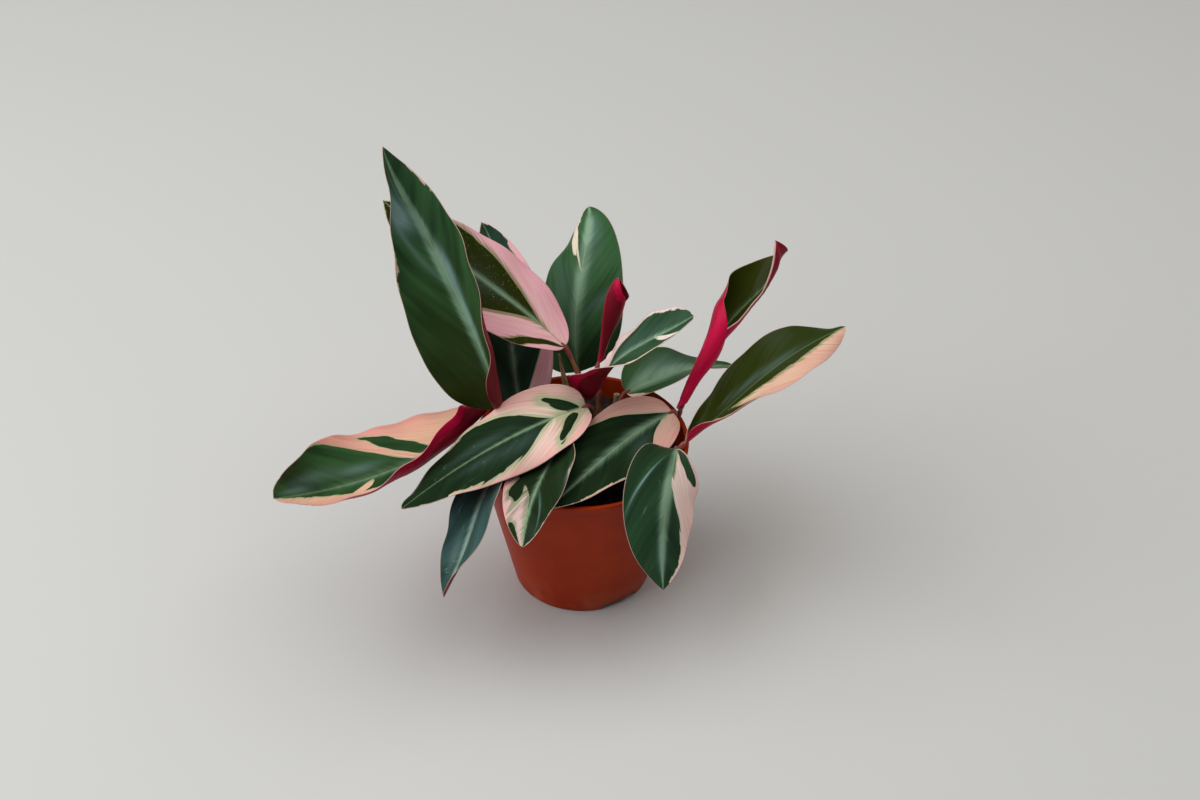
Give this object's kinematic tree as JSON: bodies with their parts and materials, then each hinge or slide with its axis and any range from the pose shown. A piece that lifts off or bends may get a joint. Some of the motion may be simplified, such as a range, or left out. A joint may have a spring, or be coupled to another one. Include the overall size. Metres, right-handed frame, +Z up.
{
  "type": "potted stromanthe",
  "caption": "Small variegated stromanthe in a tapered nursery pot: lance-shaped leaves on stems rising from the soil, some rolled near the base.",
  "frame": {"origin": "middle of the pot's underside, on the surface that it stands on", "axes": "+Z up along the pot's axis; -Y is the side that the leaves show best from"},
  "size_m": [0.3003, 0.1975, 0.2508],
  "materials": {
    "pot_plastic": "matte terracotta-coloured moulded plastic",
    "potting_soil": "dark crumbly potting mix",
    "leaf": "satin variegated leaf, maroon underneath",
    "young_leaf": "satin maroon underside of a rolled young leaf",
    "stem": "satin reddish green stem",
    "dry_stem": "dry fibrous sheath"
  },
  "bodies": {
    "root": {"pot": "pot_plastic", "soil": "potting_soil", "leaf_tall_left": "leaf", "leaf_back_left": "leaf", "leaf_rear_left": "leaf", "leaf_back_centre": "leaf", "leaf_furled": "young_leaf", "leaf_small_right": "leaf", "leaf_low_right": "leaf", "leaf_rolled_right": "leaf", "leaf_far_right": "leaf", "leaf_hanging_right": "leaf", "leaf_over_soil": "leaf", "leaf_front_left": "leaf", "leaf_front_short": "leaf", "leaf_hanging_left": "leaf", "leaf_far_left": "leaf", "stem_tall_left": "stem", "stem_back_left": "stem", "stem_rear_left": "stem", "stem_back_centre": "stem", "stem_furled": "stem", "stem_small_right": "stem", "stem_low_right": "stem", "stem_rolled_right": "stem", "stem_far_right": "stem", "stem_hanging_right": "stem", "stem_over_soil": "stem", "stem_front_left": "stem", "stem_front_short": "stem", "stem_hanging_left": "stem", "stem_far_left": "stem", "stem_cut_stub": "stem", "stem_dry_sheath": "dry_stem"}
  },
  "joints": []
}
